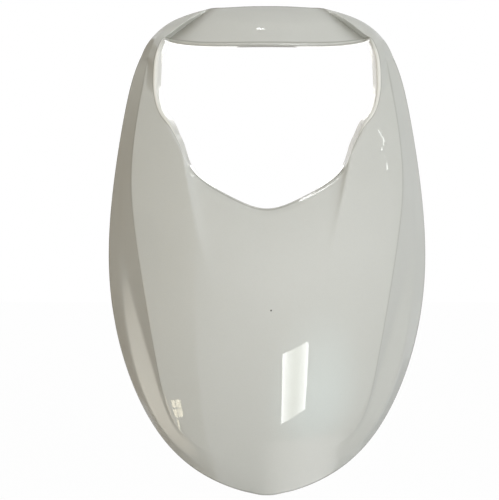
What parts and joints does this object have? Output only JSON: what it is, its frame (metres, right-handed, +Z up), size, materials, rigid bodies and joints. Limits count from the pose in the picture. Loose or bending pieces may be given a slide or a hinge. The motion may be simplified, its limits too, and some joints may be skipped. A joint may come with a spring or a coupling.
{
  "type": "headlight surround",
  "caption": "Shield-shaped moulded scooter front panel with a lamp opening under a thin brow, a return flange round the opening and screw bosses on its back.",
  "frame": {"origin": "middle of the screw bosses, in the plane of their seats", "axes": "+X to the right of the picture, +Y to the back along the screws, +Z up"},
  "size_m": [0.3402, 0.0922, 0.517],
  "materials": {
    "paint": "pearl white paint under gloss clear coat"
  },
  "bodies": {
    "root": {"headlight_surround": "paint"}
  },
  "joints": []
}
